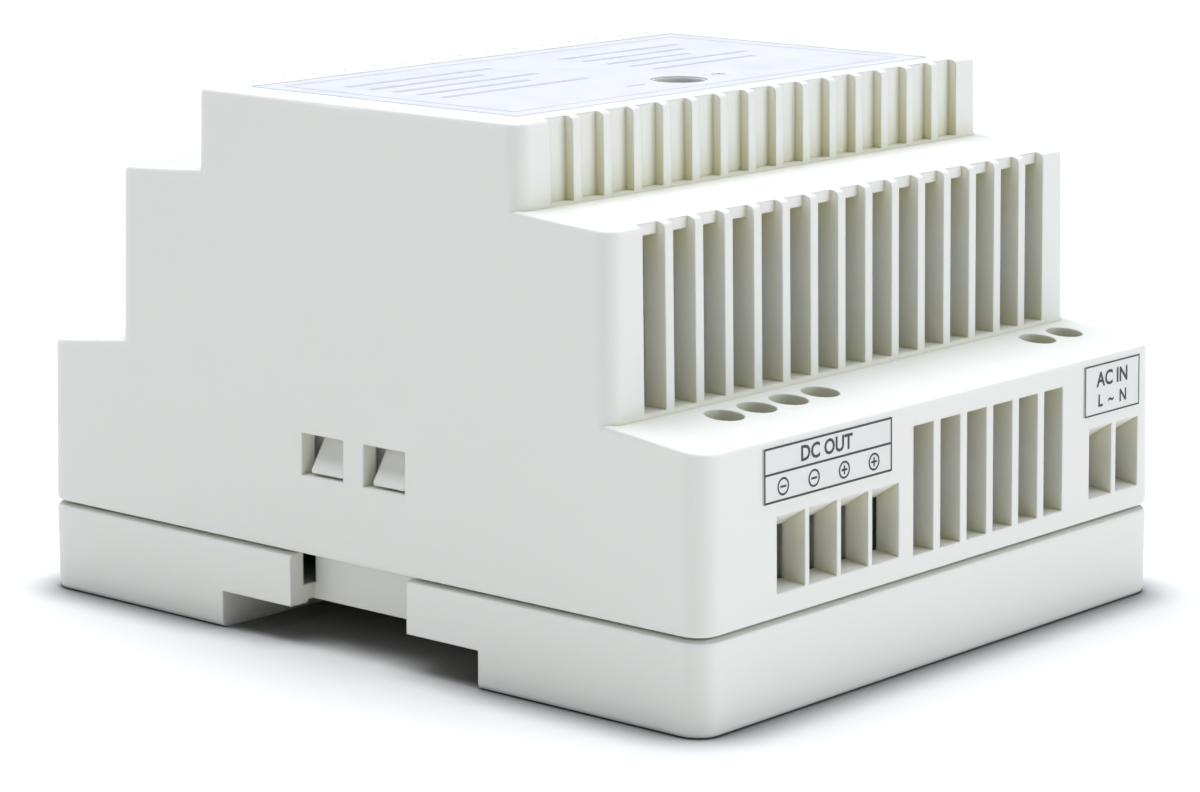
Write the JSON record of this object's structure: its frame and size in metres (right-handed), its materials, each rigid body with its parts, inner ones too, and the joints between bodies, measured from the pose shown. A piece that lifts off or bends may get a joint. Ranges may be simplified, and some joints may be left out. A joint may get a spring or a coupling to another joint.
{
  "type": "din rail power supply",
  "caption": "Power supply in a stepped, vented plastic housing with screw-clamp wire entries, a rail slot and a sprung rail latch.",
  "frame": {"origin": "middle of the bounding box on the bottom face, which faces the wall behind the rail", "axes": "+X along the rail, +Y across the rail away from the wire entries, +Z away from the rail and the wall"},
  "size_m": [0.078, 0.093, 0.057],
  "materials": {
    "housing_plastic": "fine moulded grain, satin",
    "latch_plastic": "moulded, satin",
    "terminal_plastic": "moulded, satin",
    "sticker": "coated, slightly glossy",
    "spring_steel": "drawn wire",
    "plated_steel": "zinc plated",
    "tinned_brass": "tinned",
    "laminate": "glass-epoxy board, solder mask",
    "ferrite": "matt, pressed",
    "tape": "wound polyester tape",
    "enamelled_wire": "enamelled copper winding",
    "black_plastic": "moulded epoxy or nylon",
    "can_sleeve": "heat-shrunk sleeve",
    "aluminium": "mill finish",
    "film_box": "moulded box",
    "blue_ceramic": "dipped coating",
    "fuse_glass": "tube with end caps",
    "white_nylon": "moulded",
    "trimmer_blue": "moulded",
    "trimmer_grey": "moulded"
  },
  "bodies": {
    "housing": {"cover": "housing_plastic", "base": "housing_plastic", "label_top": "sticker", "label_dc": "sticker", "label_ac": "sticker", "latch_spring": "spring_steel", "pcb": "laminate", "dc_terminal_block": "terminal_plastic", "ac_terminal_block": "terminal_plastic", "dc_1_contact": "tinned_brass", "dc_2_contact": "tinned_brass", "dc_3_contact": "tinned_brass", "dc_4_contact": "tinned_brass", "ac_1_contact": "tinned_brass", "ac_2_contact": "tinned_brass", "transformer_core_lower": "ferrite", "transformer_core_upper": "ferrite", "transformer_bobbin": "black_plastic", "transformer_winding": "tape", "choke_core": "ferrite", "choke_winding_a": "enamelled_wire", "choke_winding_b": "enamelled_wire", "bulk_capacitor": "can_sleeve", "output_capacitor_1": "can_sleeve", "output_capacitor_2": "can_sleeve", "x_capacitor": "film_box", "varistor": "blue_ceramic", "fuse": "fuse_glass", "bridge_rectifier": "black_plastic", "primary_heatsink": "aluminium", "switch_transistor": "black_plastic", "output_heatsink": "aluminium", "output_rectifier": "black_plastic", "optocoupler": "white_nylon", "control_board": "laminate", "controller_chip": "black_plastic", "trimmer_body": "trimmer_blue"},
    "din_latch": {"din_latch": "latch_plastic"},
    "dc_1_cage": {"dc_1_cage": "plated_steel"},
    "dc_1_screw": {"dc_1_screw": "plated_steel"},
    "dc_2_cage": {"dc_2_cage": "plated_steel"},
    "dc_2_screw": {"dc_2_screw": "plated_steel"},
    "dc_3_cage": {"dc_3_cage": "plated_steel"},
    "dc_3_screw": {"dc_3_screw": "plated_steel"},
    "dc_4_cage": {"dc_4_cage": "plated_steel"},
    "dc_4_screw": {"dc_4_screw": "plated_steel"},
    "ac_1_cage": {"ac_1_cage": "plated_steel"},
    "ac_1_screw": {"ac_1_screw": "plated_steel"},
    "ac_2_cage": {"ac_2_cage": "plated_steel"},
    "ac_2_screw": {"ac_2_screw": "plated_steel"},
    "trimmer_rotor": {"trimmer_rotor": "trimmer_grey"}
  },
  "joints": [
    {"name": "latch_slide", "type": "slide", "parent": "housing", "child": "din_latch", "axis": [0, 1, 0], "range_m": [0, 0.0035], "stiffness_N_per_m": 900, "springref_m": -0.003, "deforming": ["latch_spring"]},
    {"name": "dc_1_cage_rise", "type": "slide", "parent": "housing", "child": "dc_1_cage", "axis": [0, 0, 1], "range_m": [0, 0.00225]},
    {"name": "dc_2_cage_rise", "type": "slide", "parent": "housing", "child": "dc_2_cage", "axis": [0, 0, 1], "range_m": [0, 0.00225]},
    {"name": "dc_3_cage_rise", "type": "slide", "parent": "housing", "child": "dc_3_cage", "axis": [0, 0, 1], "range_m": [0, 0.00225]},
    {"name": "dc_4_cage_rise", "type": "slide", "parent": "housing", "child": "dc_4_cage", "axis": [0, 0, 1], "range_m": [0, 0.00225]},
    {"name": "ac_1_cage_rise", "type": "slide", "parent": "housing", "child": "ac_1_cage", "axis": [0, 0, 1], "range_m": [0, 0.00225]},
    {"name": "ac_2_cage_rise", "type": "slide", "parent": "housing", "child": "ac_2_cage", "axis": [0, 0, 1], "range_m": [0, 0.00225]},
    {"name": "dc_1_screw_turn", "type": "hinge", "parent": "housing", "child": "dc_1_screw", "pos_m": [-0.0254, -0.038, 0.0222], "axis": [0, 0, -1], "range_deg": [0, 1800]},
    {"name": "dc_2_screw_turn", "type": "hinge", "parent": "housing", "child": "dc_2_screw", "pos_m": [-0.02032, -0.038, 0.0222], "axis": [0, 0, -1], "range_deg": [0, 1800]},
    {"name": "dc_3_screw_turn", "type": "hinge", "parent": "housing", "child": "dc_3_screw", "pos_m": [-0.01524, -0.038, 0.0222], "axis": [0, 0, -1], "range_deg": [0, 1800]},
    {"name": "dc_4_screw_turn", "type": "hinge", "parent": "housing", "child": "dc_4_screw", "pos_m": [-0.01016, -0.038, 0.0222], "axis": [0, 0, -1], "range_deg": [0, 1800]},
    {"name": "ac_1_screw_turn", "type": "hinge", "parent": "housing", "child": "ac_1_screw", "pos_m": [0.0281, -0.038, 0.0222], "axis": [0, 0, -1], "range_deg": [0, 1800]},
    {"name": "ac_2_screw_turn", "type": "hinge", "parent": "housing", "child": "ac_2_screw", "pos_m": [0.03318, -0.038, 0.0222], "axis": [0, 0, -1], "range_deg": [0, 1800]},
    {"name": "trimmer_turn", "type": "hinge", "parent": "housing", "child": "trimmer_rotor", "pos_m": [0, -0.011, 0.0525], "axis": [0, 0, 1], "range_deg": [-130, 130]}
  ],
  "couplings": [
    {"joint": "dc_1_screw_turn", "follows": "dc_1_cage_rise", "rad_per_m": 13963},
    {"joint": "dc_2_screw_turn", "follows": "dc_2_cage_rise", "rad_per_m": 13963},
    {"joint": "dc_3_screw_turn", "follows": "dc_3_cage_rise", "rad_per_m": 13963},
    {"joint": "dc_4_screw_turn", "follows": "dc_4_cage_rise", "rad_per_m": 13963},
    {"joint": "ac_1_screw_turn", "follows": "ac_1_cage_rise", "rad_per_m": 13963},
    {"joint": "ac_2_screw_turn", "follows": "ac_2_cage_rise", "rad_per_m": 13963}
  ]
}
